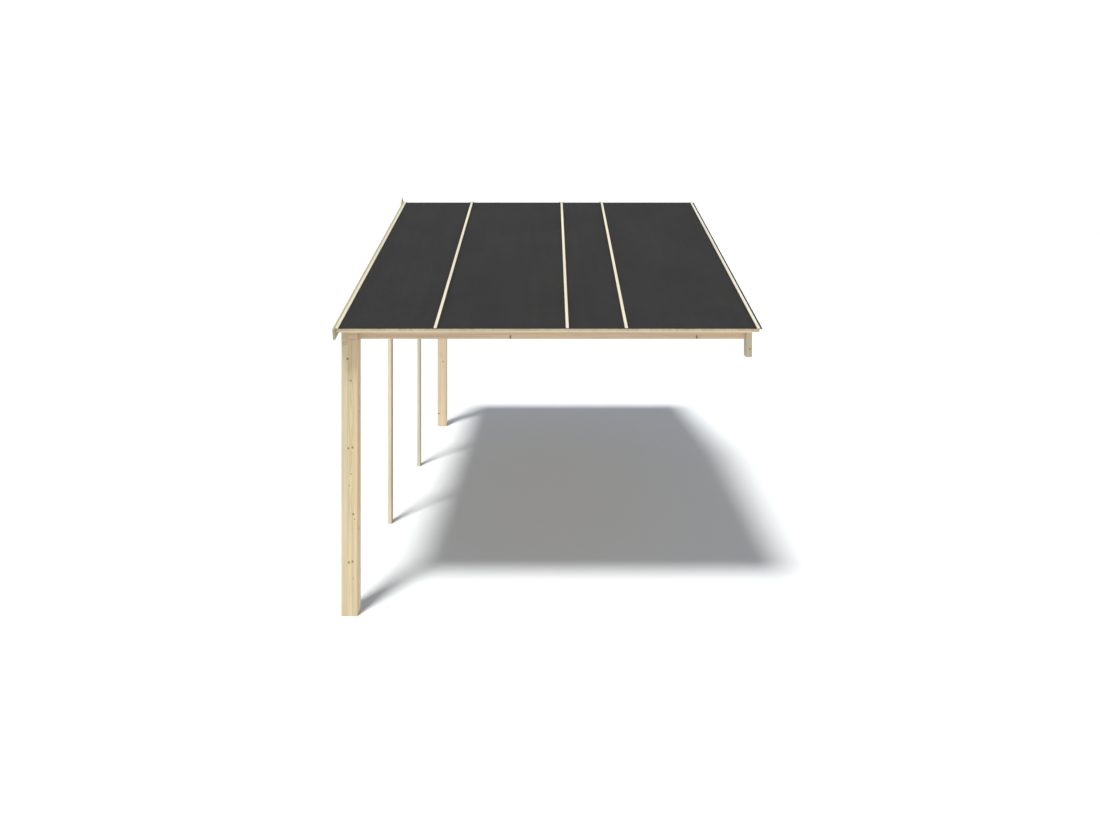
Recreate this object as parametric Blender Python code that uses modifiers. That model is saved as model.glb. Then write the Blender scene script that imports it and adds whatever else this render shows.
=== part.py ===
"""A timber canopy with a gable roof, for the side of a house.

One side stands on two posts and two studs under a log gable, and the other hangs on the wall of the house.
The wall is the plane X = 0 and the gable faces -X. The ridge runs along X over Y = 0, the front eave lies
towards -Y and +Z is up. The origin is on the wall face of the block under the ridge purlin. Heights in this
script are measured from the ground, and an empty on the ground carries every piece.
"""

import math

import bmesh
import bpy
from mathutils import Matrix

# Main sizes in metres
DEPTH = 5.95              # over the outer faces of the corner posts, along Y
REACH = 3.058             # from the wall to the outer face of the posts, along X
RIDGE_HEIGHT = 3.056      # underside of the roof boards at the ridge
ROOF_PITCH = math.radians(16.4)
EAVE_OVERHANG = 0.155     # roof boards past the posts, measured level
WALL_LAP = 0.016          # roof boards past the wall face, over the top of the wall
GABLE_LAP = 0.005         # roof boards past the outer face of the gable

# Fits
FIT = 0.0003              # clearance between faces that touch
TONGUE_FIT = 0.0006       # clearance round a tongue in its groove

# Posts and studs
POST_SIDE = 0.120
STUD_THICKNESS = 0.032
STUD_WIDTH = 0.087
STUD_COUNT = 2

# Purlins and the blocks that hold their ends on the wall
PURLIN_THICKNESS = 0.044
PURLIN_HEIGHT = 0.148
BLOCK_THICKNESS = 0.044
BLOCK_WIDTH = 0.087
BLOCK_BELOW = 0.133       # solid wood of a block below its purlin

# Gable logs
LOG_THICKNESS = 0.044
TIE_HEIGHT = 0.171        # lowest course, which lies on the posts and studs
LOG_COVER = 0.150         # height of each course above the tie
LOG_CHAMFER = 0.004
TONGUE_WIDTH = 0.007
TONGUE_HEIGHT = 0.009
TONGUE_SPACING = 0.017
TIE_END_HEIGHT = 0.161    # from the tie's bottom to the boards, at its ends
LOG_NOSE = 0.012          # height at which the thin tip of a log is cut off square
PURLIN_SEAT = 0.026       # wood left under a purlin in the log that carries it
PURLIN_COURSES = {"lower": 2, "upper": 4}
SMALLEST_PIECE = 0.060    # a cut-off tip of a log shorter than this is left out

# Roof covering
BOARD_THICKNESS = 0.027
FELT_THICKNESS = 0.003
FELT_PAST_EAVE = 0.005
FELT_PAST_WALL_EDGE = 0.018
FELT_DROOP = 0.002        # sag of the felt's free edge at the wall side
FELT_LAP = 0.045
FELT_STEP = 0.008         # length over which a sheet climbs on to its neighbour
LAP_FROM_WALL = (0.953, 1.381, 2.338)
BATTEN_WIDTH = 0.022
BATTEN_HEIGHT = 0.009
BATTEN_PAST_FELT = 0.008  # battens past the felt's edge at the eave

# Gable trim
BARGE_THICKNESS = 0.016
BARGE_WIDTH = 0.087
BARGE_PAST_EAVE = 0.035   # bargeboards past the ends of the roof boards, along the slope
DIAMOND_SIDE = 0.100
DIAMOND_THICKNESS = 0.012
DIAMOND_ABOVE_PEAK = 0.041

ARRIS = 0.002             # chamfer along the edges of planed timber
CUT_MARGIN = 0.100        # length by which a cutter passes the faces it cuts
WELD_DISTANCE = 0.00001   # corners closer than this are one
FLAT_ANGLE = math.radians(0.5)

# Sizes that follow from the ones above
HALF_DEPTH = DEPTH / 2
TAN_PITCH = math.tan(ROOF_PITCH)
COS_PITCH = math.cos(ROOF_PITCH)
SIN_PITCH = math.sin(ROOF_PITCH)
EAVE_PURLIN_Y = HALF_DEPTH - POST_SIDE / 2
VERGE = -REACH - GABLE_LAP
BATTEN_TOP = BOARD_THICKNESS + FELT_THICKNESS + BATTEN_HEIGHT
FRONT = -1
REAR = 1
SIDES = {"front": FRONT, "rear": REAR}
PIECE_WORDS = {
    1: ("",),
    2: ("_front", "_rear"),
    3: ("_front_tip", "", "_rear_tip"),
    4: ("_front_tip", "_front", "_rear", "_rear_tip"),
}

COLOURS = {
    "post_timber": ((0.78, 0.63, 0.41, 1.0), 0.60),
    "purlin_timber": ((0.74, 0.58, 0.37, 1.0), 0.62),
    "gable_timber": ((0.76, 0.60, 0.38, 1.0), 0.62),
    "roof_boards": ((0.75, 0.62, 0.42, 1.0), 0.65),
    "batten_timber": ((0.88, 0.80, 0.62, 1.0), 0.60),
    "trim_timber": ((0.76, 0.64, 0.44, 1.0), 0.60),
    "roofing_felt": ((0.050, 0.050, 0.052, 1.0), 0.92),
}


def underside(y):
    """Height of the roof boards' underside over a level distance y from the ridge."""
    return RIDGE_HEIGHT - abs(y) * TAN_PITCH


def purlin_bottom(y):
    """Height of the bottom of a purlin whose middle lies at y; its higher top edge meets the boards."""
    higher_edge = max(abs(y) - PURLIN_THICKNESS / 2, 0.0)
    return underside(higher_edge) - FIT - PURLIN_HEIGHT


EAVE_PURLIN_BOTTOM = purlin_bottom(EAVE_PURLIN_Y)
GABLE_BOTTOM = underside(HALF_DEPTH) - TIE_END_HEIGHT
ORIGIN_HEIGHT = purlin_bottom(0.0) - FIT - BLOCK_BELOW / 2


def course_bottom(course):
    """Height of the bottom of a course of the gable; the tie is course 0 and the logs above it start at 1."""
    if course == 0:
        return GABLE_BOTTOM
    return GABLE_BOTTOM + TIE_HEIGHT + (course - 1) * LOG_COVER


def course_reach(course):
    """Level distance from the ridge to a log's end: the posts' outer face, or where the slope leaves its nose."""
    return min(HALF_DEPTH, (RIDGE_HEIGHT - course_bottom(course) - LOG_NOSE) / TAN_PITCH)


def purlin_distance(course):
    """Level distance from the ridge of the purlin that a course of the gable carries."""
    seat = course_bottom(course) + PURLIN_SEAT
    return (RIDGE_HEIGHT - FIT - PURLIN_HEIGHT - seat) / TAN_PITCH + PURLIN_THICKNESS / 2


def clear_scene():
    for old in list(bpy.data.objects):
        bpy.data.objects.remove(old, do_unlink=True)


def make_collection(name):
    collection = bpy.data.collections.new(name)
    bpy.context.scene.collection.children.link(collection)
    return collection


def make_material(name):
    colour, roughness = COLOURS[name]
    material = bpy.data.materials.new(name)
    material.use_nodes = True
    shader = material.node_tree.nodes["Principled BSDF"]
    shader.inputs["Base Color"].default_value = colour
    shader.inputs["Roughness"].default_value = roughness
    shader.inputs["Metallic"].default_value = 0.0
    return material


clear_scene()
PARTS = make_collection("wooden_canopy")
CUTTERS = make_collection("cutters")
MATERIALS = {name: make_material(name) for name in COLOURS}
GROUND = bpy.data.objects.new("ground_line", None)
GROUND.location = (0.0, 0.0, -ORIGIN_HEIGHT)
PARTS.objects.link(GROUND)


def outline_mesh(name, outline, length):
    """A mesh of the flat outline, filled and given its length by a 2D curve."""
    curve = bpy.data.curves.new(name, "CURVE")
    curve.dimensions = "2D"
    curve.fill_mode = "BOTH"
    curve.extrude = length / 2
    spline = curve.splines.new("POLY")
    spline.points.add(len(outline) - 1)
    for point, (across, up) in zip(spline.points, outline):
        point.co = (across, up, 0.0, 1.0)
    spline.use_cyclic_u = True
    holder = bpy.data.objects.new(name, curve)
    bpy.context.scene.collection.objects.link(holder)
    evaluated = holder.evaluated_get(bpy.context.evaluated_depsgraph_get())
    mesh = bpy.data.meshes.new_from_object(evaluated)
    bpy.data.objects.remove(holder, do_unlink=True)
    bpy.data.curves.remove(curve)
    weld(mesh)
    return mesh


def weld(mesh):
    """Join the loose caps to the sides, take out triangles without area and point the faces outwards."""
    shape = bmesh.new()
    shape.from_mesh(mesh)
    bmesh.ops.remove_doubles(shape, verts=shape.verts, dist=WELD_DISTANCE)
    bmesh.ops.dissolve_degenerate(shape, dist=WELD_DISTANCE, edges=shape.edges)
    bmesh.ops.recalc_face_normals(shape, faces=shape.faces)
    shape.to_mesh(mesh)
    shape.free()


def place(part, collection, material=None):
    """Hang a piece on the ground's empty and give it its material."""
    collection.objects.link(part)
    part.parent = GROUND
    if material:
        part.data.materials.clear()
        part.data.materials.append(MATERIALS[material])
    return part


def prism_x(name, outline, start, end, material=None, collection=PARTS):
    """A solid whose outline of (y, z) points runs along X from start to end."""
    part = bpy.data.objects.new(name, outline_mesh(name, outline, end - start))
    part.rotation_euler = (math.pi / 2, 0.0, math.pi / 2)
    part.location = ((start + end) / 2, 0.0, 0.0)
    return place(part, collection, material)


def prism_y(name, outline, start, end, material=None, collection=PARTS):
    """A solid whose outline of (x, z) points runs along Y from start to end."""
    part = bpy.data.objects.new(name, outline_mesh(name, outline, end - start))
    part.rotation_euler = (math.pi / 2, 0.0, 0.0)
    part.location = (0.0, (start + end) / 2, 0.0)
    return place(part, collection, material)


def chamfer_edges(part):
    """Merge flat triangles into whole faces and break the outward edges between them; inner corners stay sharp."""
    shape = bmesh.new()
    shape.from_mesh(part.data)
    bmesh.ops.dissolve_limit(shape, angle_limit=FLAT_ANGLE, verts=shape.verts, edges=shape.edges)
    weight = shape.edges.layers.float.new("bevel_weight_edge")
    for edge in shape.edges:
        edge[weight] = 1.0 if edge.is_convex else 0.0
    shape.to_mesh(part.data)
    shape.free()
    bevel = part.modifiers.new("arris", "BEVEL")
    bevel.limit_method = "WEIGHT"
    bevel.width = ARRIS
    bevel.segments = 1
    return part


def cut(part, cutter):
    boolean = part.modifiers.new("cut", "BOOLEAN")
    boolean.operation = "DIFFERENCE"
    boolean.solver = "EXACT"
    boolean.object = cutter


def hide_cutter(cutter):
    cutter.hide_render = True
    cutter.display_type = "WIRE"
    return cutter


def rectangle(low_across, high_across, low_up, high_up):
    return [(low_across, low_up), (high_across, low_up), (high_across, high_up), (low_across, high_up)]


def slope_point(side, along, above):
    """The (y, z) point at a distance along the slope from the ridge, and above the boards' underside."""
    level = along * COS_PITCH + above * SIN_PITCH
    height = RIDGE_HEIGHT - along * SIN_PITCH + above * COS_PITCH
    return (side * level, height)


def ridge_point(side, above):
    """The (y, z) point of a layer at the ridge, on a plumb face just short of the middle."""
    height = RIDGE_HEIGHT - FIT * TAN_PITCH + above / COS_PITCH
    return (side * FIT, height)


def slope_outline(side, length, low, high):
    """The side view of a layer on one slope: square at the eave and plumb at the ridge."""
    return [ridge_point(side, low), slope_point(side, length, low),
            slope_point(side, length, high), ridge_point(side, high)]


BOARD_LENGTH = (HALF_DEPTH + EAVE_OVERHANG) / COS_PITCH


def build_post(name, side):
    """A square post: the tie lies on its outer step and the eave purlin on its inner one."""
    outer = -REACH
    step = outer + LOG_THICKNESS + FIT
    inner = outer + POST_SIDE
    log_seat = GABLE_BOTTOM - FIT
    purlin_seat = EAVE_PURLIN_BOTTOM - FIT
    outline = [(outer, 0.0), (inner, 0.0), (inner, purlin_seat), (step, purlin_seat),
               (step, log_seat), (outer, log_seat)]
    faces = sorted((side * HALF_DEPTH, side * (HALF_DEPTH - POST_SIDE)))
    chamfer_edges(prism_y(name, outline, faces[0], faces[1], "post_timber"))


def build_posts():
    for word, side in SIDES.items():
        build_post(f"{word}_corner_post", side)


def build_studs():
    """Thin studs that share the space between the posts evenly and carry the tie."""
    clear = (DEPTH - 2 * POST_SIDE - STUD_COUNT * STUD_WIDTH) / (STUD_COUNT + 1)
    outline = rectangle(-REACH, -REACH + STUD_THICKNESS, 0.0, GABLE_BOTTOM - FIT)
    for number in range(STUD_COUNT):
        start = -HALF_DEPTH + POST_SIDE + clear + number * (clear + STUD_WIDTH)
        stud = prism_y(f"gable_stud_{number + 1}", outline, start, start + STUD_WIDTH, "post_timber")
        chamfer_edges(stud)


def purlin_outline(y):
    """Section of a purlin: upright sides and a top cut to the slope, with a peak under the ridge."""
    low = y - PURLIN_THICKNESS / 2
    high = y + PURLIN_THICKNESS / 2
    bottom = purlin_bottom(y)
    top = [(high, underside(high) - FIT), (low, underside(low) - FIT)]
    if y == 0.0:
        top.insert(1, (0.0, underside(0.0) - FIT))
    return [(low, bottom), (high, bottom)] + top


def purlin_places():
    """Name and distance from the ridge of each purlin that the gable's notches carry."""
    places = {"ridge": 0.0}
    for word, side in SIDES.items():
        for level, course in PURLIN_COURSES.items():
            places[f"{word}_{level}"] = side * purlin_distance(course)
    return places


def build_purlins():
    """The eave purlins stop at the gable's inner face; the others reach its outer face in their notches."""
    for name, y in purlin_places().items():
        chamfer_edges(prism_x(f"{name}_purlin", purlin_outline(y), -REACH, -FIT, "purlin_timber"))
    gable_face = -REACH + LOG_THICKNESS + FIT
    for word, side in SIDES.items():
        outline = purlin_outline(side * EAVE_PURLIN_Y)
        chamfer_edges(prism_x(f"{word}_eave_purlin", outline, gable_face, -FIT, "purlin_timber"))


def block_outline(y):
    """Wall block seen from the wall: a slot from the top takes the purlin, with a cheek on each side."""
    half = BLOCK_WIDTH / 2
    slot = PURLIN_THICKNESS / 2 + FIT
    seat = purlin_bottom(y) - FIT
    bottom = seat - BLOCK_BELOW
    outline = [(y - half, bottom), (y + half, bottom)]
    for offset in (half, slot):
        outline.append((y + offset, underside(y + offset) - FIT))
    outline += [(y + slot, seat), (y - slot, seat)]
    for offset in (-slot, -half):
        outline.append((y + offset, underside(y + offset) - FIT))
    return outline


def build_wall_blocks():
    places = purlin_places()
    for word, side in SIDES.items():
        places[f"{word}_eave"] = side * EAVE_PURLIN_Y
    for name, y in places.items():
        block = prism_x(f"{name}_wall_block", block_outline(y), -BLOCK_THICKNESS, 0.0, "purlin_timber")
        chamfer_edges(block)


def log_outline(course):
    """Section of a gable log: two tongues on top, two grooves below and chamfers along its faces."""
    outer = -REACH
    inner = outer + LOG_THICKNESS
    middle = outer + LOG_THICKNESS / 2
    bottom = course_bottom(course)
    top = course_bottom(course + 1) - FIT
    centres = (middle - TONGUE_SPACING / 2, middle + TONGUE_SPACING / 2)
    outline = [(outer + LOG_CHAMFER, bottom)]
    if course > 0:
        for centre in centres:
            half = TONGUE_WIDTH / 2 + TONGUE_FIT
            roof = bottom + TONGUE_HEIGHT + TONGUE_FIT
            outline += [(centre - half, bottom), (centre - half, roof), (centre + half, roof),
                        (centre + half, bottom)]
    outline += [(inner - LOG_CHAMFER, bottom), (inner, bottom + LOG_CHAMFER),
                (inner, top - LOG_CHAMFER), (inner - LOG_CHAMFER, top)]
    for centre in reversed(centres):
        half = TONGUE_WIDTH / 2
        tip = top + TONGUE_HEIGHT
        outline += [(centre + half, top), (centre + half, tip), (centre - half, tip), (centre - half, top)]
    outline += [(outer + LOG_CHAMFER, top), (outer, top - LOG_CHAMFER), (outer, bottom + LOG_CHAMFER)]
    return outline


def build_gable_cutter():
    """The space over the boards' underside, with a notch that drops from it round each purlin on the gable."""
    wide = HALF_DEPTH + CUT_MARGIN
    high = RIDGE_HEIGHT + CUT_MARGIN
    half = PURLIN_THICKNESS / 2 + FIT
    outline = [(-wide, high), (-wide, underside(wide) - FIT)]
    for y in sorted(purlin_places().values()):
        floor = purlin_bottom(y) - FIT
        outline += [(y - half, underside(y - half) - FIT), (y - half, floor)]
        outline += [(y + half, floor), (y + half, underside(y + half) - FIT)]
    outline += [(wide, underside(wide) - FIT), (wide, high)]
    start = -REACH - CUT_MARGIN
    end = -REACH + LOG_THICKNESS + CUT_MARGIN
    return hide_cutter(prism_x("gable_cutter", outline, start, end, collection=CUTTERS))


def loose_pieces(mesh):
    """The separate bodies of a mesh, each as a set of its corners."""
    shape = bmesh.new()
    shape.from_mesh(mesh)
    left = set(shape.verts)
    pieces = []
    while left:
        found = {left.pop()}
        front = list(found)
        while front:
            corner = front.pop()
            for edge in corner.link_edges:
                other = edge.other_vert(corner)
                if other in left:
                    left.remove(other)
                    found.add(other)
                    front.append(other)
        pieces.append({corner.index for corner in found})
    shape.free()
    return pieces


def keep_piece(mesh, piece):
    """A copy of the mesh that holds only one of its bodies."""
    shape = bmesh.new()
    shape.from_mesh(mesh)
    others = [corner for corner in shape.verts if corner.index not in piece]
    bmesh.ops.delete(shape, geom=others, context="VERTS")
    kept = mesh.copy()
    shape.to_mesh(kept)
    shape.free()
    return kept


def reach_of(mesh, piece):
    """Lowest and highest Y of a body of a gable log, whose own Z axis points to -Y."""
    along = [-mesh.vertices[index].co.z for index in piece]
    return min(along), max(along)


def build_gable_log(course, cutter):
    """One course: a log cut to the slope and round the purlins, which can part it."""
    reach = course_reach(course)
    whole = prism_y(f"course_{course}", log_outline(course), -reach, reach, "gable_timber")
    cut(whole, cutter)
    evaluated = whole.evaluated_get(bpy.context.evaluated_depsgraph_get())
    mesh = bpy.data.meshes.new_from_object(evaluated)
    spans = [(reach_of(mesh, piece), piece) for piece in loose_pieces(mesh)]
    logs = sorted((span, piece) for span, piece in spans if span[1] - span[0] > SMALLEST_PIECE)
    name = f"gable_log_{course}" if course > 0 else "gable_tie"
    for word, (_, piece) in zip(PIECE_WORDS[len(logs)], logs):
        log = bpy.data.objects.new(name + word, keep_piece(mesh, piece))
        log.rotation_euler = whole.rotation_euler
        log.location = whole.location
        place(log, PARTS, "gable_timber")
    bpy.data.objects.remove(whole, do_unlink=True)


def build_gable():
    cutter = build_gable_cutter()
    bpy.context.view_layer.update()
    course = 0
    while course_bottom(course) + SMALLEST_PIECE < RIDGE_HEIGHT:
        build_gable_log(course, cutter)
        course += 1


def build_roof_boards():
    """One slope of boards, from just past the gable to just past the wall."""
    for word, side in SIDES.items():
        outline = slope_outline(side, BOARD_LENGTH, 0.0, BOARD_THICKNESS)
        prism_x(f"{word}_roof_boards", outline, VERGE, WALL_LAP, "roof_boards")


def sheet_edges():
    """The left and right edge of each felt sheet, from the gable to the wall."""
    laps = sorted(-distance for distance in LAP_FROM_WALL)
    lefts = [VERGE] + [lap - FELT_LAP / 2 for lap in laps]
    rights = [lap + FELT_LAP / 2 for lap in laps] + [WALL_LAP]
    return list(zip(lefts, rights))


def sheet_outline(left, right, next_left):
    """Section of a felt sheet across the slope: its right edge climbs on to the next sheet, or droops free."""
    low = BOARD_THICKNESS + FIT
    if next_left is None:
        path = [(left, low), (right, low), (right + FELT_PAST_WALL_EDGE, low - FELT_DROOP)]
    else:
        raised = low + FELT_THICKNESS + FIT
        path = [(left, low), (next_left - FIT - FELT_STEP, low), (next_left - FIT, raised), (right, raised)]
    upper = [(across, up + FELT_THICKNESS) for across, up in reversed(path)]
    return path + upper


def build_felt_sheet(number, left, right, next_left):
    """A sheet on the front slope, mirrored over the ridge."""
    outline = sheet_outline(left, right, next_left)
    length = BOARD_LENGTH + FELT_PAST_EAVE
    beyond_ridge = CUT_MARGIN
    name = f"felt_sheet_{number}"
    sheet = bpy.data.objects.new(name, outline_mesh(name, outline, length + beyond_ridge))
    along_slope = Matrix.Rotation(math.pi / 2 + ROOF_PITCH, 4, "X")
    middle = (length - beyond_ridge) / 2
    y, z = slope_point(FRONT, middle, 0.0)
    sheet.data.transform(Matrix.Translation((0.0, y, z)) @ along_slope)
    place(sheet, PARTS, "roofing_felt")
    mirror = sheet.modifiers.new("other_slope", "MIRROR")
    mirror.use_axis = (False, True, False)
    mirror.use_bisect_axis = (False, True, False)
    mirror.use_bisect_flip_axis = (False, True, False)
    mirror.use_clip = True
    mirror.merge_threshold = 0.0001


def build_felt():
    edges = sheet_edges()
    for index, (left, right) in enumerate(edges):
        next_left = edges[index + 1][0] if index + 1 < len(edges) else None
        build_felt_sheet(index + 1, left, right, next_left)


def build_batten(name, side, start, low):
    """A batten down one slope, on the felt at the height low above the boards' underside."""
    length = BOARD_LENGTH + FELT_PAST_EAVE + BATTEN_PAST_FELT
    outline = slope_outline(side, length, low, low + BATTEN_HEIGHT)
    chamfer_edges(prism_x(name, outline, start, start + BATTEN_WIDTH, "batten_timber"))


def build_battens():
    on_sheet = BOARD_THICKNESS + FIT + FELT_THICKNESS + FIT
    on_lap = on_sheet + FELT_THICKNESS + FIT
    for word, side in SIDES.items():
        build_batten(f"{word}_gable_verge_batten", side, VERGE, on_sheet)
        build_batten(f"{word}_wall_verge_batten", side, WALL_LAP - BATTEN_WIDTH, on_sheet)
        for number, distance in enumerate(reversed(LAP_FROM_WALL), start=1):
            build_batten(f"{word}_felt_batten_{number}", side, -distance - BATTEN_WIDTH / 2, on_lap)


def build_bargeboards():
    """Boards on the ends of the roof boards and verge battens, flush with the battens' tops."""
    inner = VERGE - FIT
    for word, side in SIDES.items():
        length = BOARD_LENGTH + BARGE_PAST_EAVE
        outline = slope_outline(side, length, BATTEN_TOP - BARGE_WIDTH, BATTEN_TOP)
        board = prism_x(f"{word}_bargeboard", outline, inner - BARGE_THICKNESS, inner, "trim_timber")
        chamfer_edges(board)


def build_diamond():
    """A square board on its corner, over the joint of the bargeboards."""
    half_diagonal = DIAMOND_SIDE / math.sqrt(2)
    peak = RIDGE_HEIGHT + BATTEN_TOP / COS_PITCH
    middle = peak + DIAMOND_ABOVE_PEAK - half_diagonal
    corners = [math.radians(90 * turn) for turn in range(4)]
    outline = [(half_diagonal * math.cos(turn), middle + half_diagonal * math.sin(turn)) for turn in corners]
    end = VERGE - BARGE_THICKNESS - 2 * FIT
    chamfer_edges(prism_x("gable_diamond", outline, end - DIAMOND_THICKNESS, end, "trim_timber"))


build_posts()
build_studs()
build_purlins()
build_wall_blocks()
build_gable()
build_roof_boards()
build_felt()
build_battens()
build_bargeboards()
build_diamond()
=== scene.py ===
"""Looks of the timber side canopy: boards, laths, grain, knots, felt, nails and screws, with floor and light.

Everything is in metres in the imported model's frame. The wall is the plane X = 0, the gable faces -X, the
ridge runs along X over Y = 0, the front eave lies towards -Y and +Z is up.
"""
import math
import random

import bmesh
import bpy
from mathutils import Matrix, Vector


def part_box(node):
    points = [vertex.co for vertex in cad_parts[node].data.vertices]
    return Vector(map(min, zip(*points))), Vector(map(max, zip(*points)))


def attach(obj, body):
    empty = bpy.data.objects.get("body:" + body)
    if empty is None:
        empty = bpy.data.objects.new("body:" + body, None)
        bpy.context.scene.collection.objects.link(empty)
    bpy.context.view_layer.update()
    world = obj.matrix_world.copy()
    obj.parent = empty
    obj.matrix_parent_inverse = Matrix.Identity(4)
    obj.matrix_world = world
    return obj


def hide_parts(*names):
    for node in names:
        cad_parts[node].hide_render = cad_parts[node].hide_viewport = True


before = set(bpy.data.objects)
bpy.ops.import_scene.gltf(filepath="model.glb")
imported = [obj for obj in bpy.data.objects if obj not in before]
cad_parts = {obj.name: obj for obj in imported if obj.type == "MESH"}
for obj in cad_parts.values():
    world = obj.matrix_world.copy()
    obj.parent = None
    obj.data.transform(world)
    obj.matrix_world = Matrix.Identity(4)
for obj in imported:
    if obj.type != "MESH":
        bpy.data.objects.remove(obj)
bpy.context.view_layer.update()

ROOF_PITCH = math.radians(16.4)
TAN_PITCH = math.tan(ROOF_PITCH)
COS_PITCH = math.cos(ROOF_PITCH)
SIN_PITCH = math.sin(ROOF_PITCH)
FIT = 0.0003               # clearance between pieces that touch

# Roof boards, with the lath under their ends at the eave
BOARD_THICKNESS = 0.027
BOARDS_IN_A_SLOPE = 34
LAST_BOARD_COVER = 0.057   # the board at the wall is ripped narrower and has no rebate
BOARD_JOINT = 0.0012       # open joint that shows between two boards
BOARD_BEVEL = 0.004        # of the V joints that show from below
TONGUE_LENGTH = 0.006
TONGUE_HALF = 0.003
TONGUE_PLACE = 0.55        # of the board's thickness, up to the middle of the tongue
GROOVE_DEPTH = 0.007
END_STEP = 0.0008          # most that a sawn end stands back from its neighbours
REBATE_HEIGHT = 0.0075     # of the rebate under the boards' ends, which takes the eave lath
LATH_HEIGHT = 0.011
LATH_DEPTH = 0.020
LATH_ARRIS = 0.0006
PACKING_ARRIS = 0.0010

# Nails in the battens
NAIL_RADIUS = 0.0034
NAIL_PROUD = 0.0008
NAIL_SPACING = 0.33
NAIL_FROM_END = 0.06
NAIL_WANDER_ALONG = 0.008
NAIL_WANDER_ACROSS = 0.0015

# Screws
SCREW_RADIUS = 0.0052
SCREW_PROUD = 0.0009
BARGE_SCREW_PAIRS = 7
BARGE_SCREW_START = 0.10
BARGE_SCREW_SPACING = 0.50
BARGE_SCREW_HEIGHTS = (-0.030, 0.020)   # off the boards' underside
BARGE_SCREW_SLANT = 0.8                 # a pair's screws part so far along the board, per metre of height
TIE_SCREW_HEIGHTS = (0.035, 0.105)      # above the eave purlin's lower face
BLOCK_SCREW_HEIGHTS = (0.030, 0.098)    # above the wall block's lower end
STUD_SCREW_SHARES = (0.25, 0.75)        # of the stud's width
STUD_SCREW_DROP = 0.022                 # below the stud's top

SIDES = {"front": -1, "rear": 1}
BATTENS = ("gable_verge_batten", "felt_batten_1", "felt_batten_2", "felt_batten_3", "wall_verge_batten")
WALL_BLOCKS = ("ridge", "front_eave", "front_lower", "front_upper", "rear_eave", "rear_lower", "rear_upper")
RIDGE_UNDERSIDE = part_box("front_roof_boards")[1].z - BOARD_THICKNESS / COS_PITCH

ALONG_X = Vector((1.0, 0.0, 0.0))
ALONG_Y = Vector((0.0, 1.0, 0.0))
UPRIGHT = Vector((0.0, 0.0, 1.0))

# Floor, light and camera
FLOOR_HALF_WIDTH = 90.0
FLOOR_GAP = 0.0005                      # below the posts' feet
LAMP_WARMTH = (1.0, 0.974, 0.920)
KEY_DIRECTION = (0.440, 1.00, -2.14)
KEY_STRENGTH = 2.80
KEY_WIDTH = 10.7                        # degrees across, which sets how soft the shadow's edge is
FLOOR_LIGHT_STRENGTH = 2.00
FILL_DIRECTION = (-1.0, 0.15, -0.30)
FILL_STRENGTH = 0.36
FILL_WIDTH = 40.0
SKY_CHANGE = (0.23, 0.50)               # the sky is pale below these heights and dim above them
CAMERA_PLACE = (-1.511, -9.741, 0.209)
CAMERA_LENS = 29.78
CAMERA_SHIFT = (0.00055, -0.1877)


# Node maths

class Wire:
    """A socket's value; sums and products of wires and numbers add the Math nodes for them."""

    def __init__(self, finish, socket):
        self.finish = finish
        self.socket = socket

    def maths(self, operation, first, second):
        return self.finish.node("ShaderNodeMath", {"operation": operation}, {0: first, 1: second})

    def __add__(self, other):
        return self.maths("ADD", self, other)

    def __radd__(self, other):
        return self.maths("ADD", other, self)

    def __sub__(self, other):
        return self.maths("SUBTRACT", self, other)

    def __rsub__(self, other):
        return self.maths("SUBTRACT", other, self)

    def __mul__(self, other):
        return self.maths("MULTIPLY", self, other)

    def __rmul__(self, other):
        return self.maths("MULTIPLY", other, self)

    def __truediv__(self, other):
        return self.maths("DIVIDE", self, other)

    def __pow__(self, other):
        return self.maths("POWER", self, other)


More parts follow.
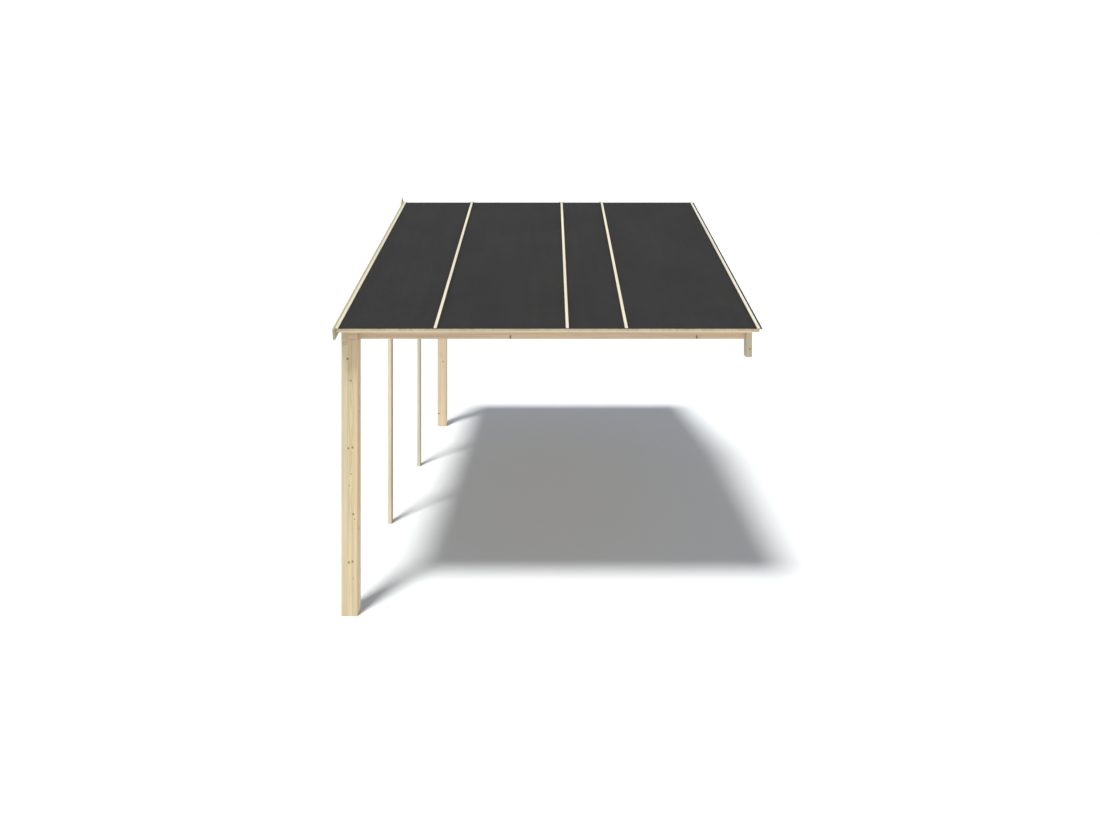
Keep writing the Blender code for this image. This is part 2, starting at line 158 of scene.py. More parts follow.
class Finish:
    """One material and the nodes that make its look."""

    def __init__(self, name):
        self.material = bpy.data.materials.new(name)
        self.material.use_nodes = True
        self.tree = self.material.node_tree
        self.shader = self.tree.nodes["Principled BSDF"]

    def feed(self, socket, value):
        if isinstance(value, Wire):
            self.tree.links.new(value.socket, socket)
        else:
            socket.default_value = value

    def node(self, kind, settings=None, sockets=None, output=0):
        """A node of that kind: its settings first, then the values or wires of its sockets."""
        made = self.tree.nodes.new(kind)
        for name, value in (settings or {}).items():
            setattr(made, name, value)
        for name, value in (sockets or {}).items():
            self.feed(made.inputs[name], value)
        return Wire(self, made.outputs[output])

    def surface(self, sockets):
        for name, value in sockets.items():
            self.feed(self.shader.inputs[name], value)
        return self.material

    def split(self, vector):
        parts = self.node("ShaderNodeSeparateXYZ", sockets={0: vector}).socket.node
        return [Wire(self, parts.outputs[axis]) for axis in range(3)]

    def join(self, x, y, z):
        return self.node("ShaderNodeCombineXYZ", sockets={0: x, 1: y, 2: z})

    def stretch(self, vector, factors):
        return self.node("ShaderNodeVectorMath", {"operation": "MULTIPLY"}, {0: vector, 1: factors})

    def noise(self, vector, scale=1.0, detail=2.0, output="Fac"):
        sockets = {"Vector": vector, "Scale": scale, "Detail": detail}
        return self.node("ShaderNodeTexNoise", sockets=sockets, output=output)

    def pattern(self, place, fineness, detail=2.0):
        """Noise that is finer or longer along each axis."""
        return self.noise(self.stretch(place, fineness), detail=detail)

    def ease(self, value, low, high):
        """0 below low and 1 above high, with a smooth change between; low may be the greater one."""
        sockets = {"Value": value, "From Min": low, "From Max": high, "To Min": 0.0, "To Max": 1.0}
        return self.node("ShaderNodeMapRange", {"interpolation_type": "SMOOTHSTEP"}, sockets)

    def blend(self, share, first, second, how="MIX"):
        settings = {"data_type": "RGBA", "blend_type": how}
        return self.node("ShaderNodeMix", settings, {0: share, 6: first, 7: second}, output=2)

    def one_of(self, operation, value, other=0.0):
        return self.node("ShaderNodeMath", {"operation": operation}, {0: value, 1: other})

    def squareness(self, direction):
        """1 on faces that are square to the direction and 0 on faces along it."""
        normal = self.node("ShaderNodeNewGeometry", output="True Normal")
        sockets = {0: normal, 1: direction}
        facing = self.node("ShaderNodeVectorMath", {"operation": "DOT_PRODUCT"}, sockets, output="Value")
        return self.one_of("ABSOLUTE", facing)


class Surround(Finish):
    """The light from all round and the nodes that make it."""

    def __init__(self, name):
        self.world = bpy.data.worlds.new(name)
        self.world.use_nodes = True
        self.tree = self.world.node_tree
        self.shader = self.tree.nodes["Background"]


def rgb(red, green, blue):
    return (red, green, blue, 1.0)


# Timber

SPRUCE = {"early": (0.577, 0.481, 0.309), "late": (0.462, 0.346, 0.193)}
# SPRUCE made lighter for the rear post: painted light against the shade round it
PAINTED_LIGHT_SPRUCE = {"early": (0.642, 0.538, 0.379), "late": (0.517, 0.387, 0.235)}
STUD_SPRUCE = {"early": (0.611, 0.557, 0.399), "late": (0.485, 0.405, 0.263)}
GREY_SPRUCE = {"early": (0.500, 0.472, 0.352), "late": (0.397, 0.342, 0.232)}
# the purlins' spruce: redder in tone, and lighter as painted light against the shade under the eave
PAINTED_LIGHT_BEAM_SPRUCE = {"early": (0.640, 0.502, 0.351), "late": (0.517, 0.369, 0.216)}
BOARD_SPRUCE = {"early": (0.659, 0.575, 0.419), "late": (0.546, 0.437, 0.290)}
BATTEN_SPRUCE = {"early": (0.661, 0.623, 0.498), "late": (0.554, 0.499, 0.371)}
LATH_SPRUCE = {"early": (0.772, 0.650, 0.433), "late": (0.650, 0.516, 0.319)}
TRIM_SPRUCE = {"early": (0.416, 0.368, 0.238), "late": (0.332, 0.275, 0.162)}
KNOT = rgb(0.205, 0.122, 0.060)
KNOT_RIM = rgb(0.110, 0.064, 0.034)
KNOT_HALO = rgb(0.430, 0.300, 0.160)
REDDER = rgb(1.04, 0.955, 0.89)         # the tints below multiply the timber's own colour
# painted shade for the studs' wide faces; it multiplies the timber's colour
PAINTED_SIDE_SHADE = rgb(0.66, 0.58, 0.50)
DARKEST_BOARD = rgb(0.88, 0.85, 0.80)

RING_GAP = 0.0036
PITH_SWAY = 0.026
RING_SWELL = 0.010
RINGS_ROUND_A_KNOT = 1.9
KNOT_CELLS_PER_METRE = 5.5
SMALLEST_KNOT = 0.0045
KNOT_SPREAD = 0.0075
FAR_FROM_KNOTS = 9.0                    # in radii of a knot, on end grain and on the pith's far side

# How fine each pattern is: along the grain, over the wide face and through the thickness
FIBRES = (7.0, 620.0, 620.0)
STREAKS = (1.6, 75.0, 75.0)
BROAD_TONES = (1.1, 6.0, 6.0)
BANDS = (0.7, 38.0, 38.0)
RESIN_DUCTS = (30.0, 700.0, 700.0)
REDDER_STREAKS = (1.3, 34.0, 34.0)
KNOT_GROWTH = (260.0, 260.0, 260.0)


def grain_place(finish, pith, along, wide):
    """Metres from the pith: X along the grain, Y over the wide face and Z through the thickness."""
    deep = along.cross(wide)
    turn = Matrix((along, wide, deep)).transposed().to_euler("XYZ")
    spot = finish.node("ShaderNodeTexCoord", output="Object")
    sockets = {"Vector": spot, "Location": pith, "Rotation": turn}
    return finish.node("ShaderNodeMapping", {"vector_type": "TEXTURE"}, sockets)


def scattered_knots(finish, place, share, seed):
    """How far a point is from the next of the scattered knots, as a multiple of that knot's radius."""
    x, y, _ = finish.split(place)
    flat = finish.join(x * KNOT_CELLS_PER_METRE + seed * 7.31, y * KNOT_CELLS_PER_METRE + seed * 3.17, 0.0)
    settings = {"voronoi_dimensions": "2D"}
    cell = finish.node("ShaderNodeTexVoronoi", settings, {"Vector": flat, "Scale": 1.0})
    luck, size, _ = finish.split(Wire(finish, cell.socket.node.outputs["Color"]))
    radius = (SMALLEST_KNOT + KNOT_SPREAD * size) * finish.one_of("LESS_THAN", luck, share)
    return cell / KNOT_CELLS_PER_METRE / (radius + 0.00001)


def listed_knots(finish, place, pith, along, wide, knots):
    """The same for knots at known places of the surface; each is a branch from the pith out to there."""
    x, y, z = finish.split(place)
    deep = along.cross(wide)
    nearest = None
    for spot, radius in knots:
        out = Vector(spot) - Vector(pith)
        length = math.hypot(out.dot(wide), out.dot(deep))
        cos, sin = out.dot(wide) / length, out.dot(deep) / length
        over = x - out.dot(along)
        past = z * cos - y * sin
        outward = y * cos + z * sin
        behind = finish.one_of("LESS_THAN", outward, 0.0)
        distance = (over ** 2.0 + past ** 2.0) ** 0.5 / radius + FAR_FROM_KNOTS * behind
        nearest = distance if nearest is None else finish.one_of("MINIMUM", nearest, distance)
    return nearest


def year_rings(finish, place, knot, seed, gap):
    """How much dark late wood a point holds; the rings lie round a swaying pith and bulge round knots."""
    x, y, z = finish.split(place)
    sway = finish.noise(finish.join(x * 0.9 + seed * 5.13, seed * 1.7, 0.0), detail=1.0, output="Color")
    sway_y, sway_z, _ = finish.split(sway)
    y = y + (sway_y - 0.5) * PITH_SWAY
    z = z + (sway_z - 0.5) * PITH_SWAY
    swell = finish.noise(finish.join(x * 2.2, y * 15.0, z * 15.0)) - 0.5
    radius = (y ** 2.0 + z ** 2.0) ** 0.5 + swell * RING_SWELL
    phase = radius / gap + finish.ease(knot, 3.6, 0.6) * RINGS_ROUND_A_KNOT
    year = finish.one_of("FLOOR", phase)
    ring = finish.one_of("FRACT", phase)
    strength = finish.node("ShaderNodeTexWhiteNoise", {"noise_dimensions": "1D"}, {"W": year + seed})
    return finish.ease(ring, 0.30, 0.92) * finish.ease(ring, 1.0, 0.94) * (0.35 + 0.65 * strength)


def clear_wood(finish, place, look, late, fibre, streak, ruddy):
    """Colour of the wood between its knots, without its lighter and darker bands; ruddy is its redness."""
    tone = late * 0.75 + (streak - 0.5) * 0.75 + (fibre - 0.5) * 0.30
    tone = finish.node("ShaderNodeClamp", sockets={"Value": tone})
    colour = finish.blend(tone, rgb(*look["early"]), rgb(*look["late"]))
    redder = finish.ease(finish.pattern(place, REDDER_STREAKS), 0.42, 0.64)
    return finish.blend(redder * ruddy, colour, REDDER, "MULTIPLY")


def add_knots(finish, place, knot, colour):
    """The colour with each knot's halo, core and dark rim, and where the core and the rim are."""
    halo = finish.ease(knot, 2.3, 1.0)
    core = finish.ease(knot, 1.04, 0.86)
    rim = finish.ease(knot, 1.16, 1.00) * finish.ease(knot, 0.70, 0.96)
    growth = finish.pattern(place, KNOT_GROWTH, 1.0)
    colour = finish.blend(halo * 0.45, colour, KNOT_HALO)
    colour = finish.blend(core * (0.70 + 0.25 * growth), colour, KNOT)
    return finish.blend(rim * 0.55, colour, KNOT_RIM), core, rim


def timber(finish, place, axis, look, knot, seed, gap=RING_GAP, rough=None, ruddy=0.8):
    """Year rings, fibres, knots and end grain, for a piece whose grain runs along the axis.

    The faces across the rough direction, if there is one, are darkened with painted shade.
    """
    late = year_rings(finish, place, knot, seed, gap)
    fibre = finish.pattern(place, FIBRES)
    streak = finish.pattern(place, STREAKS, 3.0)
    broad = finish.pattern(place, BROAD_TONES)
    bands = finish.pattern(place, BANDS, 1.0)
    ducts = finish.ease(finish.pattern(place, RESIN_DUCTS, 0.0), 0.70, 0.78)
    end_grain = finish.ease(finish.squareness(axis), 0.75, 0.95)

    colour = clear_wood(finish, place, look, late, fibre, streak, ruddy)
    shade = 1.02 + (broad - 0.5) * 0.20 + (streak - 0.5) * 0.55 + (bands - 0.5) * 0.30 - ducts * 0.10
    shade = shade * (1.0 - end_grain * 0.10 * late)
    colour = finish.blend(1.0, colour, finish.join(shade, shade, shade), "MULTIPLY")
    # painted shade: darkens the faces across the rough direction
    if rough:
        colour = finish.blend(finish.squareness(rough), colour, PAINTED_SIDE_SHADE, "MULTIPLY")
    colour, core, rim = add_knots(finish, place, knot + end_grain * FAR_FROM_KNOTS, colour)

    height = fibre * 0.45 + streak * 0.25 - late * 0.35 - ducts * 0.30 - rim * 0.8 + core * 0.25
    bump = finish.node("ShaderNodeBump", sockets={"Strength": 0.45, "Distance": 0.00035, "Height": height})
    dullness = 0.60 + (fibre - 0.5) * 0.16 + end_grain * 0.18 - core * 0.16 - late * 0.06
    sockets = {"Base Color": colour, "Roughness": dullness, "Normal": bump, "Specular IOR Level": 0.35}
    return finish.surface(sockets)


def shifted(look, rng, amount=0.04):
    """The look of one piece: its timber a little lighter, darker, warmer or cooler than its neighbours'."""
    light = 1.0 + rng.uniform(-amount, amount)
    warm = rng.uniform(-amount, amount) * 0.5
    balance = (light * (1.0 + warm), light, light * (1.0 - warm))
    return {word: tuple(value * change for value, change in zip(colour, balance))
            for word, colour in look.items()}


def down_slope(side):
    return Vector((0.0, side * COS_PITCH, -SIN_PITCH))


def slope_normal(side):
    return Vector((0.0, side * SIN_PITCH, COS_PITCH))


def coat(node, material):
    """Gives a CAD piece its material."""
    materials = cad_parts[node].data.materials
    materials.clear()
    materials.append(material)


def timber_for(node, along, wide, look, pith_out, knots=(), knot_share=0.35, **more):
    """Gives a CAD piece its own timber; pith_out is how far the pith lies from its middle, wide and deep."""
    rng = random.Random(node)
    low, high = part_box(node)
    deep = along.cross(wide)
    pith = (low + high) / 2 + wide * pith_out[0] * rng.uniform(-1.0, 1.0)
    pith += deep * pith_out[1] * rng.choice((-1.0, 1.0)) * rng.uniform(0.8, 1.2)
    finish = Finish(f"{node}_timber")
    place = grain_place(finish, pith, along, wide)
    seed = rng.uniform(0.0, 40.0)
    if knots:
        known = [(low + Vector(spot), size) for spot, size in knots]
        knot = listed_knots(finish, place, pith, along, wide, known)
    else:
        knot = scattered_knots(finish, place, knot_share, seed)
    coat(node, timber(finish, place, along, shifted(look, rng), knot, seed, **more))


# Knots that show in the picture: a point of the surface, from the piece's low corner, and the knot's radius
FRONT_POST_KNOTS = (
    ((0.047, 0.000, 1.914), 0.0072), ((0.071, 0.000, 1.751), 0.0055), ((0.052, 0.000, 1.248), 0.0066),
    ((0.083, 0.000, 1.254), 0.0068), ((0.071, 0.000, 1.058), 0.0040), ((0.058, 0.000, 0.971), 0.0038),
    ((0.089, 0.000, 0.758), 0.0068), ((0.098, 0.000, 0.721), 0.0034), ((0.055, 0.000, 0.400), 0.0066),
    ((0.084, 0.000, 0.406), 0.0066), ((0.090, 0.000, 0.278), 0.0036), ((0.120, 0.070, 1.507), 0.0076),
    ((0.120, 0.045, 0.637), 0.0068), ((0.000, 0.075, 1.427), 0.0076), ((0.000, 0.040, 0.827), 0.0068),
    ((0.065, 0.120, 1.667), 0.0072), ((0.050, 0.120, 0.942), 0.0076),
)
REAR_POST_KNOTS = (
    ((0.016, 0.000, 0.178), 0.0086), ((0.075, 0.000, 0.897), 0.0072), ((0.050, 0.000, 1.517), 0.0081),
    ((0.120, 0.045, 0.547), 0.0081), ((0.000, 0.075, 1.207), 0.0077), ((0.070, 0.120, 1.627), 0.0086),
    ((0.040, 0.120, 0.487), 0.0072),
)
FRONT_BEAM_KNOTS = (
    ((1.211, 0.000, 0.014), 0.0060), ((2.605, 0.000, 0.014), 0.0060), ((0.526, 0.000, 0.076), 0.0072),
    ((1.876, 0.000, 0.098), 0.0077), ((0.956, 0.044, 0.053), 0.0081), ((2.246, 0.044, 0.088), 0.0072),
)
FRONT_BLOCK_KNOTS = (((0.027, 0.000, 0.062), 0.0045),)


def give_timber_to_posts():
    timber_for("front_corner_post", UPRIGHT, ALONG_X, SPRUCE, (0.010, 0.010), FRONT_POST_KNOTS)
    # the rear post's timber is lightened with painted light
    timber_for("rear_corner_post", UPRIGHT, ALONG_X, PAINTED_LIGHT_SPRUCE, (0.010, 0.010), REAR_POST_KNOTS)
    for number in (1, 2):
        # painted shade darkens the studs' wide faces, across X
        timber_for(f"gable_stud_{number}", UPRIGHT, ALONG_Y, STUD_SPRUCE, (0.020, 0.045), knot_share=0.12,
                   rough=ALONG_X)


def give_timber_to_purlins():
    # the purlins' timber is lightened with painted light against the eave's shade
    timber_for("front_eave_purlin", ALONG_X, UPRIGHT, PAINTED_LIGHT_BEAM_SPRUCE, (0.030, 0.060), FRONT_BEAM_KNOTS)
    names = ["rear_eave", "front_lower", "front_upper", "ridge", "rear_upper", "rear_lower"]
    for name in names:
        timber_for(f"{name}_purlin", ALONG_X, UPRIGHT, PAINTED_LIGHT_BEAM_SPRUCE, (0.030, 0.050))
    timber_for("front_eave_wall_block", UPRIGHT, ALONG_Y, GREY_SPRUCE, (0.015, 0.045), FRONT_BLOCK_KNOTS)
    for name in names:
        timber_for(f"{name}_wall_block", UPRIGHT, ALONG_Y, SPRUCE, (0.015, 0.045))


def give_timber_to_gable():
    for node in sorted(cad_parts):
        if node == "gable_tie" or node.startswith("gable_log"):
            timber_for(node, ALONG_Y, UPRIGHT, SPRUCE, (0.035, 0.045), knot_share=0.45)


def give_timber_to_trim():
    for word, side in SIDES.items():
        along = down_slope(side)
        normal = slope_normal(side)
        for name in BATTENS:
            timber_for(f"{word}_{name}", along, normal, BATTEN_SPRUCE, (0.010, 0.040), knot_share=0.04,
                       gap=0.0024, ruddy=0.25)
        timber_for(f"{word}_bargeboard", along, normal, TRIM_SPRUCE, (0.020, 0.035))
    diagonal = (ALONG_Y + UPRIGHT).normalized()
    other_diagonal = (UPRIGHT - ALONG_Y).normalized()
    timber_for("gable_diamond", diagonal, other_diagonal, TRIM_SPRUCE, (0.020, 0.030))


# Pieces

def make_piece(name, shape, material, slot, *nodes):
    """Turns the finished bmesh into a piece that stands in for the CAD nodes, if any are named."""
    bmesh.ops.recalc_face_normals(shape, faces=shape.faces)
    mesh = bpy.data.meshes.new(name)
    shape.to_mesh(mesh)
    shape.free()
    mesh.materials.append(material)
    piece = bpy.data.objects.new(name, mesh)
    bpy.context.scene.collection.objects.link(piece)
    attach(piece, "root")
    if nodes:
        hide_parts(*nodes)
    return piece


def slope_matrix(side):
    """From (X, metres down the slope, metres off the boards' underside) to the model's frame."""
    columns = (ALONG_X, down_slope(side), slope_normal(side))
    turn = Matrix(columns).transposed().to_4x4()
    return Matrix.Translation((0.0, 0.0, RIDGE_UNDERSIDE)) @ turn


def board_section(left, right):
    """Outline of one board: V joints below, a groove on the left and a tongue on the right."""
    middle = BOARD_THICKNESS * TONGUE_PLACE
    tongue = TONGUE_HALF - FIT
    return [
        (left + BOARD_BEVEL, 0.0), (right - BOARD_BEVEL, 0.0), (right, BOARD_BEVEL), (right, REBATE_HEIGHT),
        (right, middle - tongue), (right + TONGUE_LENGTH, middle - tongue),
        (right + TONGUE_LENGTH, middle + tongue), (right, middle + tongue),
        (right, BOARD_THICKNESS), (left, BOARD_THICKNESS), (left, middle + TONGUE_HALF),
        (left + GROOVE_DEPTH, middle + TONGUE_HALF), (left + GROOVE_DEPTH, middle - TONGUE_HALF),
        (left, middle - TONGUE_HALF), (left, REBATE_HEIGHT), (left, BOARD_BEVEL),
    ]


def boards_length(node):
    """How far down the slope the boards go."""
    low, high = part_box(node)
    return (max(abs(low.y), abs(high.y)) - BOARD_THICKNESS * SIN_PITCH) / COS_PITCH


def pull(shape, faces, length):
    """Draws the faces out along Y and returns their new corners."""
    grown = bmesh.ops.extrude_face_region(shape, geom=faces)["geom"]
    corners = [part for part in grown if isinstance(part, bmesh.types.BMVert)]
    bmesh.ops.translate(shape, verts=corners, vec=(0.0, length, 0.0))
    return corners


def add_board(shape, layers, section, length, width_middle, rebated, rng):
    """One board, cut plumb at the ridge; its place in its own grain goes with it."""
    place, tone = layers
    corners = [shape.verts.new((across, 0.0, up)) for across, up in section]
    far = pull(shape, [shape.faces.new(corners)], length - LATH_DEPTH)
    level = [corner for corner in far if abs(corner.co.z - REBATE_HEIGHT) < 1e-6]
    cut = bmesh.ops.connect_verts(shape, verts=level)["edges"][0]
    below, above = sorted(cut.link_faces, key=lambda end: end.calc_center_median().z)
    ends = pull(shape, [above] if rebated else [below, above], LATH_DEPTH)
    for corner in corners:
        corner.co.y = FIT / COS_PITCH - corner.co.z * TAN_PITCH
    start = rng.uniform(0.0, 60.0)
    pith = Vector((rng.uniform(-0.030, 0.030), rng.choice((-1.0, 1.0)) * rng.uniform(0.030, 0.060)))
    light = rng.uniform(0.0, 1.0)
    for corner in corners + far + ends:
        corner[place] = (corner.co.y + start, corner.co.x - width_middle - pith.x, corner.co.z - pith.y)
        corner[tone] = light


def board_finish(name, side):
    finish = Finish(name)
    place = finish.node("ShaderNodeAttribute", {"attribute_name": "grain_place"}, output="Vector")
    knot = scattered_knots(finish, place, 0.30, 0.0)
    material = timber(finish, place, down_slope(side), BOARD_SPRUCE, knot, 0.0, gap=0.0030)
    light = finish.node("ShaderNodeAttribute", {"attribute_name": "board_tone"}, output="Fac")
    colour = Wire(finish, finish.shader.inputs["Base Color"].links[0].from_socket)
    darker = finish.blend(1.0, colour, DARKEST_BOARD, "MULTIPLY")
    return finish.surface({"Base Color": finish.blend(light, colour, darker)})


def build_roof_boards():
    """Each slope's boarding from single boards, joined edge to edge, with the CAD plate's outline."""
    for word, side in SIDES.items():
        node = f"{word}_roof_boards"
        low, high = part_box(node)
        cover = (high.x - low.x - LAST_BOARD_COVER) / (BOARDS_IN_A_SLOPE - 1)
        rng = random.Random(node)
        shape = bmesh.new()
        place = shape.verts.layers.float_vector.new("grain_place")
        tone = shape.verts.layers.float.new("board_tone")
        for number in range(BOARDS_IN_A_SLOPE):
            last = number == BOARDS_IN_A_SLOPE - 1
            start = low.x + number * cover
            end = high.x if last else start + cover
            left = start + (BOARD_JOINT / 2 if number > 0 else 0.0)
            section = board_section(left, end - (0.0 if last else BOARD_JOINT / 2))
            if last:
                section = section[:4] + section[8:]
            board_length = boards_length(node) - rng.uniform(0.0, END_STEP)
            add_board(shape, (place, tone), section, board_length, (start + end) / 2, not last, rng)
        bmesh.ops.transform(shape, matrix=slope_matrix(side), verts=shape.verts)
        material = board_finish(f"{word}_boarding_timber", side)
        make_piece(f"{word}_boarding", shape, material, "roof_boards", node)


def squared_timber(size, middle):
    """A block of that size round that middle."""
    shape = bmesh.new()
    bmesh.ops.create_cube(shape, size=1.0, matrix=Matrix.Translation(middle) @ Matrix.Diagonal(size).to_4x4())
    return shape


def plane_arrises(shape, width):
    """Takes the sharp edges off."""
    bmesh.ops.bevel(shape, geom=shape.edges[:], offset=width, segments=1, profile=0.5, affect="EDGES",
                    material=-1)


def build_eave_laths():
    """A planed lath along each eave, let in under the boards' ends, as far as the last board."""
    for word, side in SIDES.items():
        low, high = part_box(f"{word}_roof_boards")
        start = low.x + FIT
        length = boards_length(f"{word}_roof_boards")
        size = Vector((high.x - LAST_BOARD_COVER - FIT - start, LATH_DEPTH - FIT, LATH_HEIGHT))
        middle = Vector((start, length - size.y, REBATE_HEIGHT - FIT - size.z)) + size / 2
        shape = squared_timber(size, middle)
        plane_arrises(shape, LATH_ARRIS)
        bmesh.ops.transform(shape, matrix=slope_matrix(side), verts=shape.verts)
        finish = Finish(f"{word}_eave_lath_timber")
        pith = slope_matrix(side) @ (middle + Vector((0.0, 0.030, 0.045)))
        place = grain_place(finish, pith, ALONG_X, down_slope(side))
        knot = scattered_knots(finish, place, 0.05, 3.0)
        material = timber(finish, place, ALONG_X, LATH_SPRUCE, knot, 3.0)
        make_piece(f"{word}_eave_lath", shape, material, "batten_timber")


def build_post_packings():
    """A packing piece of the purlin's timber brings the purlin's end flush with each corner post."""
    for word, side in SIDES.items():
        post_low, post_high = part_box(f"{word}_corner_post")
        purlin_low, purlin_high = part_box(f"{word}_eave_purlin")
        post_face = max(abs(post_low.y), abs(post_high.y))
        purlin_face = max(abs(purlin_low.y), abs(purlin_high.y))
        size = Vector((post_high.x - purlin_low.x, post_face - purlin_face - FIT,
                       purlin_high.z - purlin_low.z))
        middle = Vector((purlin_low.x, purlin_face + FIT, purlin_low.z)) + size / 2
        middle.y *= side
        shape = squared_timber(size, middle)
        for corner in shape.verts:
            if corner.co.z > middle.z:
                corner.co.z = RIDGE_UNDERSIDE - FIT - abs(corner.co.y) * TAN_PITCH
        plane_arrises(shape, PACKING_ARRIS)
        timber_of_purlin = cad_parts[f"{word}_eave_purlin"].data.materials[0]
        make_piece(f"{word}_post_packing", shape, timber_of_purlin, "purlin_timber")


# Roofing felt

DARK_FELT = rgb(0.0187, 0.0188, 0.0186)
PALE_FELT = rgb(0.0616, 0.0612, 0.0590)
GRAINS_PER_METRE = 640.0
ROLLER_MARKS = (16.0, 0.8, 0.8)         # as the timber's patterns: along X, Y and Z


def felt_finish():
    """Dark bitumen felt with fine mineral grains, faint roller marks and slight unevenness."""
    finish = Finish("mineral_felt")
    place = finish.node("ShaderNodeTexCoord", output="Object")
    grains = finish.node("ShaderNodeTexVoronoi", sockets={"Vector": place, "Scale": GRAINS_PER_METRE})
    grain_tone, grain_lift, _ = finish.split(Wire(finish, grains.socket.node.outputs["Color"]))
    coarse = finish.noise(place, 95.0, 3.0)
    patches = finish.noise(place, 2.1, 4.0)
    marks = finish.pattern(place, ROLLER_MARKS, 3.0)
    tone = finish.ease(grain_tone, 0.30, 1.0) * 0.62 + (coarse - 0.5) * 0.30 + (patches - 0.5) * 0.35
    tone = tone + (marks - 0.5) * 0.22 + 0.18
    tone = finish.node("ShaderNodeClamp", sockets={"Value": tone})
    colour = finish.blend(tone, DARK_FELT, PALE_FELT)
    waves = finish.noise(place, 3.5, 2.0)
    height = grain_lift * 0.35 - grains * 110.0 + coarse * 0.8 + waves * 6.0
    bump = finish.node("ShaderNodeBump", sockets={"Strength": 0.6, "Distance": 0.0006, "Height": height})
    rough = 0.88 + (grain_tone - 0.5) * 0.16
    sockets = {"Base Color": colour, "Roughness": rough, "Normal": bump, "Specular IOR Level": 0.25}
    return finish.surface(sockets)


def cover_with_felt():
    material = felt_finish()
    for node in sorted(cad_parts):
        if node.startswith("felt_sheet"):
            coat(node, material)


# Nails and screws

ZINC = (0.52, 0.52, 0.50)
YELLOW_ZINC = (0.60, 0.53, 0.38)
NAIL_TOP = 0.86            # share of the head's radius that is flat; the rest is its sloping rim
SCREW_TOP = 0.90
HEAD_SIDES = 12
RECESS_RIM = 0.45          # of the screw's radius, round its recess
RECESS_NOTCH = 0.70        # draws every other corner of the recess inwards
RECESS_TAPER = 0.0003
RECESS_DEPTH = SCREW_PROUD * 1.2


def steel_finish(name, colour, roughness):
    finish = Finish(name)
    place = finish.node("ShaderNodeTexCoord", output="Object")
    mottle = finish.noise(place, 900.0, 3.0)
    tint = finish.blend(mottle, rgb(*colour), rgb(*(value * 0.72 for value in colour)))
    bump = finish.node("ShaderNodeBump", sockets={"Strength": 0.3, "Distance": 0.0001, "Height": mottle})
    rough = roughness + (mottle - 0.5) * 0.2
    return finish.surface({"Base Color": tint, "Metallic": 1.0, "Roughness": rough, "Normal": bump})


def head_matrix(spot, outward, spin):
    """Places a head whose own Z points out of the surface."""
    turn = UPRIGHT.rotation_difference(outward).to_matrix().to_4x4()
    return Matrix.Translation(spot) @ turn @ Matrix.Rotation(spin, 4, "Z")


def add_head(shape, radius, top_share, proud):
    """A round head, half sunk into the surface; its flat top has that share of its radius."""
    made = bmesh.ops.create_cone(shape, cap_ends=True, segments=HEAD_SIDES, radius1=radius,
                                 radius2=radius * top_share, depth=proud * 2)
    return made["verts"]


def add_nail_head(shape, matrix):
    """A flat nail head with a bevelled rim."""
    bmesh.ops.transform(shape, matrix=matrix, verts=add_head(shape, NAIL_RADIUS, NAIL_TOP, NAIL_PROUD))


def add_screw_head(shape, matrix):
    """A flat screw head with a six-sided recess."""
    rim = add_head(shape, SCREW_RADIUS, SCREW_TOP, SCREW_PROUD)
    faces = {face for corner in rim for face in corner.link_faces}
    top = max(faces, key=lambda face: face.calc_center_median().z)
    inset = bmesh.ops.inset_individual(shape, faces=[top], thickness=SCREW_RADIUS * RECESS_RIM, depth=0.0)
    for number, corner in enumerate(top.verts):
        if number % 2:
            corner.co.x *= RECESS_NOTCH
            corner.co.y *= RECESS_NOTCH
    deep = bmesh.ops.inset_individual(shape, faces=[top], thickness=RECESS_TAPER, depth=-RECESS_DEPTH)
    grown = {corner for face in inset["faces"] + deep["faces"] + [top] for corner in face.verts}
    bmesh.ops.transform(shape, matrix=matrix, verts=list(grown | set(rim)))


def slope_top(node):
    """How far a slope piece's upper face lies off the boards' underside."""
    return (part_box(node)[1].z - RIDGE_UNDERSIDE) * COS_PITCH


def build_batten_nails():
    rng = random.Random("batten nails")
    shape = bmesh.new()
    for word, side in SIDES.items():
        for name in BATTENS:
            node = f"{word}_{name}"
            low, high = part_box(node)
            length = max(abs(low.y), abs(high.y)) / COS_PITCH
            count = round(length / NAIL_SPACING)
            step = (length - 2 * NAIL_FROM_END) / (count - 1)
            for number in range(count):
                down = NAIL_FROM_END + number * step + rng.uniform(-NAIL_WANDER_ALONG, NAIL_WANDER_ALONG)
                across = (low.x + high.x) / 2 + rng.uniform(-NAIL_WANDER_ACROSS, NAIL_WANDER_ACROSS)
                spot = slope_matrix(side) @ Vector((across, down, slope_top(node)))
                add_nail_head(shape, head_matrix(spot, slope_normal(side), rng.uniform(0.0, 1.0)))
    make_piece("batten_nails", shape, steel_finish("galvanised_nails", ZINC, 0.42), "batten_timber")


def barge_and_tie_screws(word, side):
    """Where the screws of one bargeboard and of one end of the tie sit."""
    barge_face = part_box(f"{word}_bargeboard")[0].x
    tie_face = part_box("gable_tie")[0].x
    low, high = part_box(f"{word}_eave_purlin")
    spots = []
    for number in range(BARGE_SCREW_PAIRS):
        for off in BARGE_SCREW_HEIGHTS:
            down = BARGE_SCREW_START + number * BARGE_SCREW_SPACING + off * BARGE_SCREW_SLANT
            spots.append(slope_matrix(side) @ Vector((barge_face, down, off)))
    return spots + [Vector((tie_face, (low.y + high.y) / 2, low.z + up)) for up in TIE_SCREW_HEIGHTS]


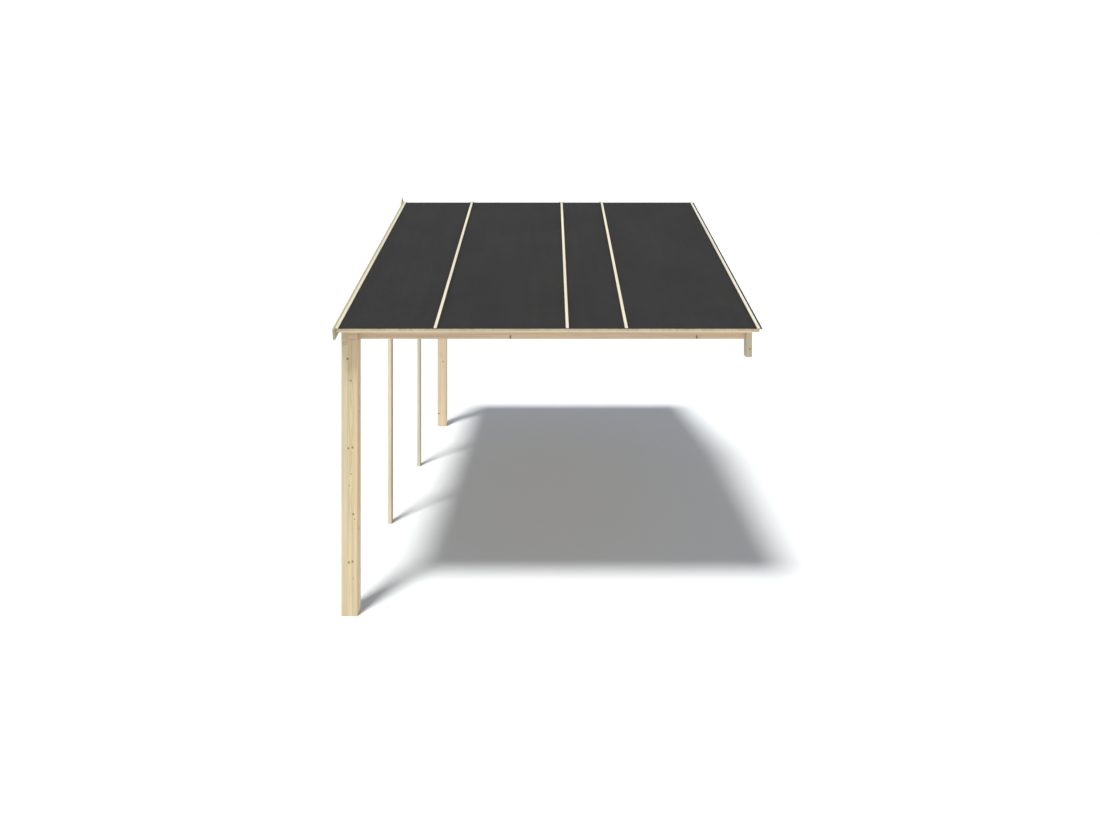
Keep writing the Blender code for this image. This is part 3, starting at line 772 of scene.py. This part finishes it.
def build_screws():
    """Screws of the bargeboards, the diamond board, the wall blocks, the tie and the studs."""
    towards_gable = [spot for word, side in SIDES.items() for spot in barge_and_tie_screws(word, side)]
    low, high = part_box("gable_diamond")
    towards_gable.append(Vector((low.x, 0.0, (low.z + high.z) / 2)))
    for name in WALL_BLOCKS:
        low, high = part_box(f"{name}_wall_block")
        towards_gable += [Vector((low.x, (low.y + high.y) / 2, low.z + up)) for up in BLOCK_SCREW_HEIGHTS]
    spots = [(spot, -ALONG_X) for spot in towards_gable]
    for number in (1, 2):
        low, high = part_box(f"gable_stud_{number}")
        for share in STUD_SCREW_SHARES:
            across = low.y + (high.y - low.y) * share
            spots.append((Vector((high.x, across, high.z - STUD_SCREW_DROP)), ALONG_X))
    rng = random.Random("screws")
    shape = bmesh.new()
    for spot, outward in spots:
        add_screw_head(shape, head_matrix(spot, outward, rng.uniform(0.0, 1.0)))
    make_piece("screws", shape, steel_finish("yellow_zinc_screws", YELLOW_ZINC, 0.36), "trim_timber")


# Floor, light and camera

PALE_FLOOR = rgb(0.562, 0.588, 0.618)
PALE_SKY = rgb(1.0, 1.035, 1.11)
DIM_SKY = rgb(0.400, 0.414, 0.444)


def build_floor():
    shape = bmesh.new()
    bmesh.ops.create_grid(shape, x_segments=1, y_segments=1, size=FLOOR_HALF_WIDTH)
    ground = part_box("front_corner_post")[0].z
    bmesh.ops.translate(shape, verts=shape.verts, vec=(0.0, 0.0, ground - FLOOR_GAP))
    mesh = bpy.data.meshes.new("floor")
    shape.to_mesh(mesh)
    shape.free()
    sockets = {"Base Color": PALE_FLOOR, "Roughness": 1.0, "Specular IOR Level": 0.0}
    mesh.materials.append(Finish("pale_floor").surface(sockets))
    floor = bpy.data.objects.new("floor", mesh)
    bpy.context.scene.collection.objects.link(floor)
    return floor


def add_light(name, strength, width, direction):
    """A far, soft light; its width is an angle in degrees."""
    lamp = bpy.data.lights.new(name, "SUN")
    lamp.energy = strength
    lamp.angle = math.radians(width)
    lamp.color = LAMP_WARMTH
    light = bpy.data.objects.new(name, lamp)
    light.rotation_euler = Vector(direction).to_track_quat("-Z", "Y").to_euler()
    bpy.context.scene.collection.objects.link(light)
    return light


def light_scene(floor):
    """A white surround, dimmer overhead, a key light, more of it on the floor, and a weak fill light."""
    scene = bpy.context.scene
    surround = Surround("studio")
    height = surround.split(surround.node("ShaderNodeTexCoord", output="Generated"))[2]
    colour = surround.blend(surround.ease(height, *SKY_CHANGE), PALE_SKY, DIM_SKY)
    surround.feed(surround.shader.inputs["Color"], colour)
    scene.world = surround.world
    add_light("key_light", KEY_STRENGTH, KEY_WIDTH, KEY_DIRECTION)
    add_light("fill_light", FILL_STRENGTH, FILL_WIDTH, FILL_DIRECTION)
    floor_light = add_light("floor_light", FLOOR_LIGHT_STRENGTH, KEY_WIDTH, KEY_DIRECTION)
    lit = bpy.data.collections.new("lit_by_the_floor_light")
    lit.objects.link(floor)
    floor_light.light_linking.receiver_collection = lit
    scene.view_settings.view_transform = "Standard"


def place_camera():
    """A level camera; its shift frames the canopy as the picture does."""
    lens = bpy.data.cameras.new("camera")
    lens.sensor_width = 36.0
    lens.lens = CAMERA_LENS
    lens.shift_x, lens.shift_y = CAMERA_SHIFT
    lens.clip_end = 400.0
    camera = bpy.data.objects.new("camera", lens)
    camera.location = CAMERA_PLACE
    camera.rotation_euler = (math.pi / 2, 0.0, 0.0)
    bpy.context.scene.collection.objects.link(camera)
    bpy.context.scene.camera = camera


give_timber_to_posts()
give_timber_to_purlins()
give_timber_to_gable()
give_timber_to_trim()
build_roof_boards()
build_eave_laths()
build_post_packings()
cover_with_felt()
build_batten_nails()
build_screws()
light_scene(build_floor())
place_camera()

bpy.context.view_layer.update()
